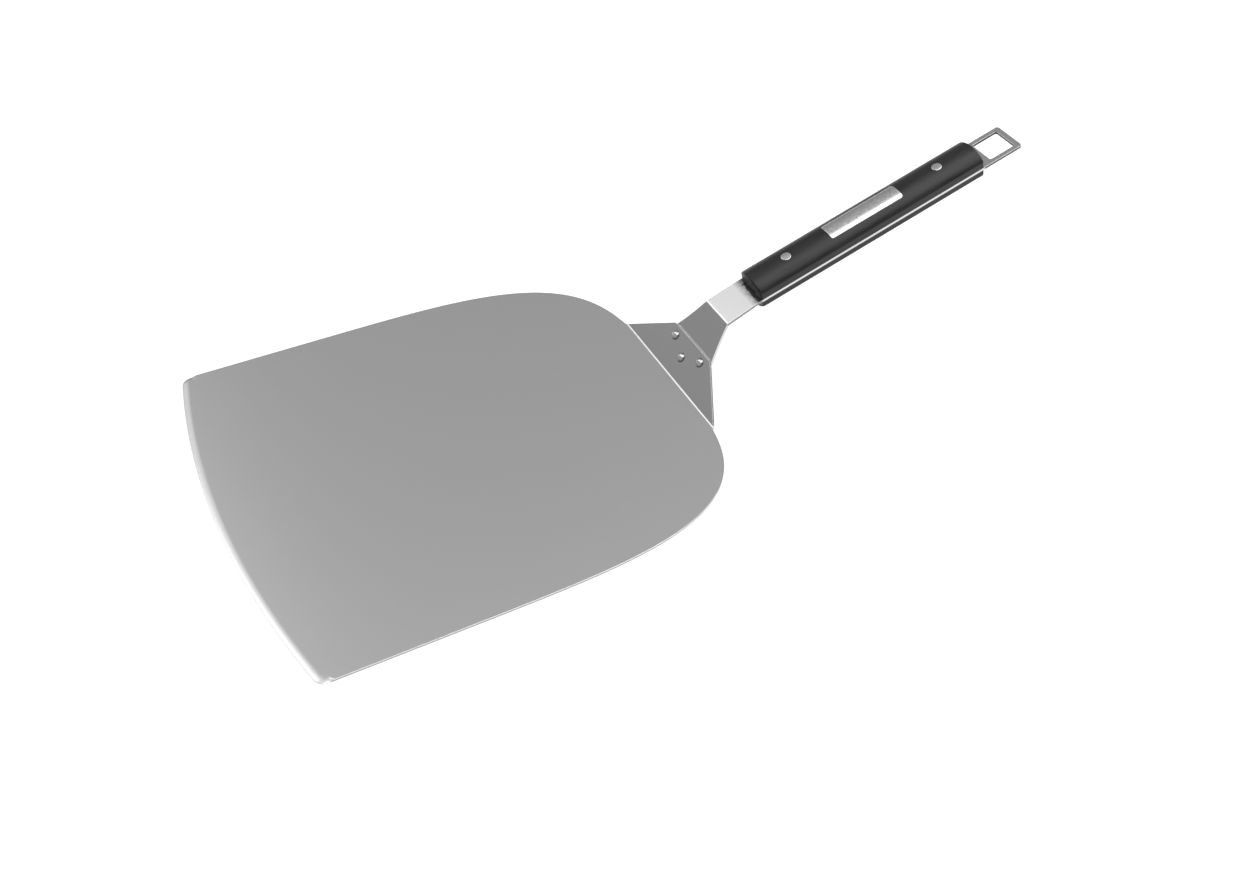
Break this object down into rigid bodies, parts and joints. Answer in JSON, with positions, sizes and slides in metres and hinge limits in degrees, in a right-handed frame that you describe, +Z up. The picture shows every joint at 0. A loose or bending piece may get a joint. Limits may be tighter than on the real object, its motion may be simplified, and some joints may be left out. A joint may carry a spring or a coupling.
{
  "type": "grill spatula",
  "caption": "Wide flat steel blade with a bowed front edge, folded up and riveted to a bent bar that carries a dark two-scale handle and ends in a hanging slot.",
  "frame": {"origin": "bottom centre of the bounding box, on the plane that the blade lies on", "axes": "+X from the blade's front edge to the hanging slot; +Y to the left when looking along +X; +Z up, away from the surface that the blade lies on"},
  "size_m": [0.5574, 0.2624, 0.1176],
  "materials": {
    "blade_steel": "finely brushed satin stainless sheet",
    "bar_steel": "satin stainless bar",
    "rivet_steel": "polished stainless",
    "inlay_steel": "fine-blasted stainless",
    "scale_wood": "dark-stained hardwood with a satin finish",
    "bonding_tape": "matt adhesive foam"
  },
  "bodies": {
    "root": {"blade": "blade_steel", "neck_tang": "bar_steel", "blade_rivet_centre": "rivet_steel", "blade_rivet_left": "rivet_steel", "blade_rivet_right": "rivet_steel", "upper_scale": "scale_wood", "lower_scale": "scale_wood", "front_rivet_male": "rivet_steel", "front_rivet_female": "rivet_steel", "rear_rivet_male": "rivet_steel", "rear_rivet_female": "rivet_steel", "inlay_plate": "inlay_steel", "inlay_pad": "bonding_tape"}
  },
  "joints": []
}
